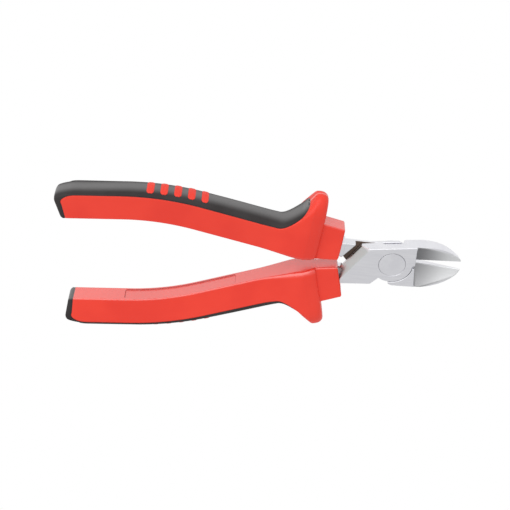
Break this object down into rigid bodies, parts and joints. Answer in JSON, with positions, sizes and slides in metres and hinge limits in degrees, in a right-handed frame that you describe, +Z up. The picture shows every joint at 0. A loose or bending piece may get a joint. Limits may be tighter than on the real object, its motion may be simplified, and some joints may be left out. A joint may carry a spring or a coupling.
{
  "type": "side cutters",
  "caption": "Hand side cutters: lapped steel jaws with slanted cutting edges turn on a flush rivet, each leg in a red and dark grip with a thumb guard.",
  "frame": {"origin": "middle of the footprint, on the surface that the tool lies on", "axes": "+X from the grips to the jaw tips, +Z up out of the surface along the pivot, +Y toward the upper grip"},
  "size_m": [0.1602, 0.0648, 0.0134],
  "materials": {
    "steel": "satin ground",
    "rivet_steel": "satin ground flush",
    "red_plastic": "semi-gloss hard plastic",
    "dark_soft": "matte soft overmould"
  },
  "bodies": {
    "front": {"front_half": "steel", "pivot_rivet": "rivet_steel", "lower_grip_body": "red_plastic", "lower_grip_soft": "dark_soft"},
    "back": {"back_half": "steel", "upper_grip_body": "red_plastic", "upper_grip_soft": "dark_soft"}
  },
  "joints": [
    {"name": "pivot", "type": "hinge", "parent": "front", "child": "back", "pos_m": [0.05285, 0.0012, 0.0067], "axis": [0, 0, -1], "range_deg": [-6.7, 30]}
  ]
}
